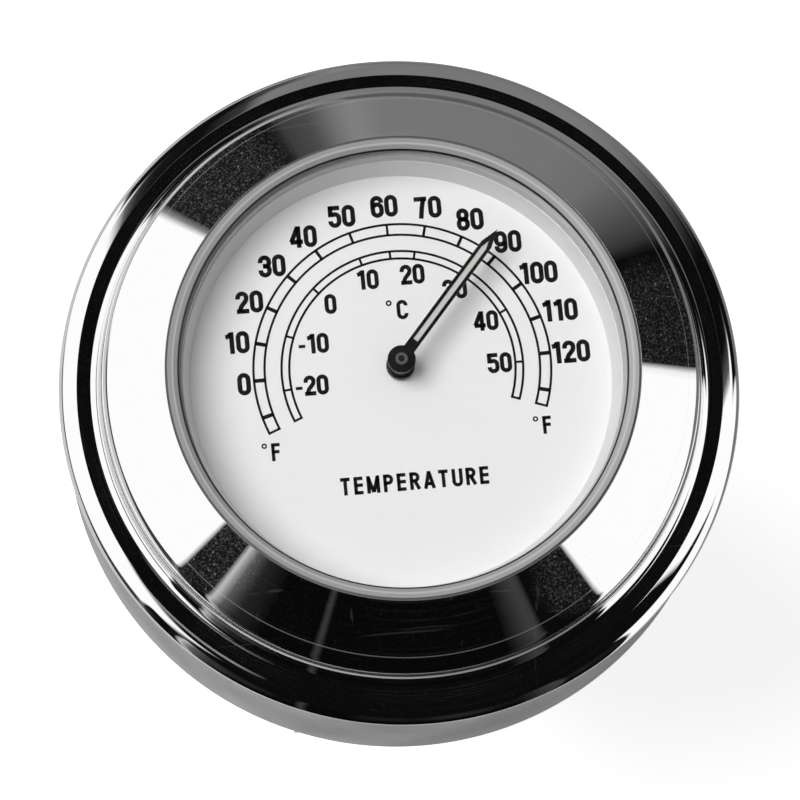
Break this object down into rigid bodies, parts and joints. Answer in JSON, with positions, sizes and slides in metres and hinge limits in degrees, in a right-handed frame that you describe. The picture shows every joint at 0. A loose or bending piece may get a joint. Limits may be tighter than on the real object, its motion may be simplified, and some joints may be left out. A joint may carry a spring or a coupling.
{
  "type": "handlebar thermometer",
  "caption": "Round dial thermometer with a stepped polished bezel, a bimetal movement with a turning pointer, and a two-part clamp lined with rubber for a motorcycle handlebar.",
  "frame": {"origin": "on the axis of the handlebar, in the middle of the clamp's width", "axes": "+X along the bar, +Y towards the dial's twelve o'clock, +Z out of the dial's face"},
  "size_m": [0.055, 0.055, 0.0561],
  "materials": {
    "chrome": "polished",
    "glass": "polished",
    "gasket": "matte",
    "dial_white": "satin",
    "white_plastic": "matte",
    "black_paint": "satin",
    "pale_paint": "matte",
    "steel": "satin",
    "black_rubber": "matte",
    "black_plastic": "matte",
    "brass": "satin",
    "bimetal": "satin"
  },
  "bodies": {
    "head": {"saddle": "chrome", "housing_cup": "chrome", "housing_screws": "steel", "bezel_ring": "chrome", "bezel_seal": "black_rubber", "crystal": "glass", "crystal_gasket": "gasket", "dial_ring": "white_plastic", "dial_plate": "dial_white", "inner_sleeve": "black_plastic", "movement_holder": "black_plastic", "front_bush": "brass", "rear_bush": "brass", "bridge_plate": "brass", "bridge_pillars": "brass", "bridge_screws": "steel", "bimetal_coil": "bimetal", "anchor_post": "brass", "liner_upper": "black_rubber"},
    "hand": {"pointer": "black_paint", "pointer_stripe": "pale_paint", "pointer_hub": "black_paint", "staff": "steel", "coil_collet": "brass"},
    "lower_clamp": {"clamp_cap": "chrome", "liner_lower": "black_rubber", "clamp_bolts": "steel", "lock_washers": "steel"}
  },
  "joints": [
    {"name": "pointer_turn", "type": "hinge", "parent": "head", "child": "hand", "pos_m": [0, 0.001, 0.0347], "axis": [0, 0, 1], "range_deg": [-68.6, 150.4], "stiffness_Nm_per_rad": 0.0002, "deforming": ["bimetal_coil"]},
    {"name": "clamp_open", "type": "slide", "parent": "head", "child": "lower_clamp", "axis": [0, 0, -1], "range_m": [0, 0.03]}
  ]
}
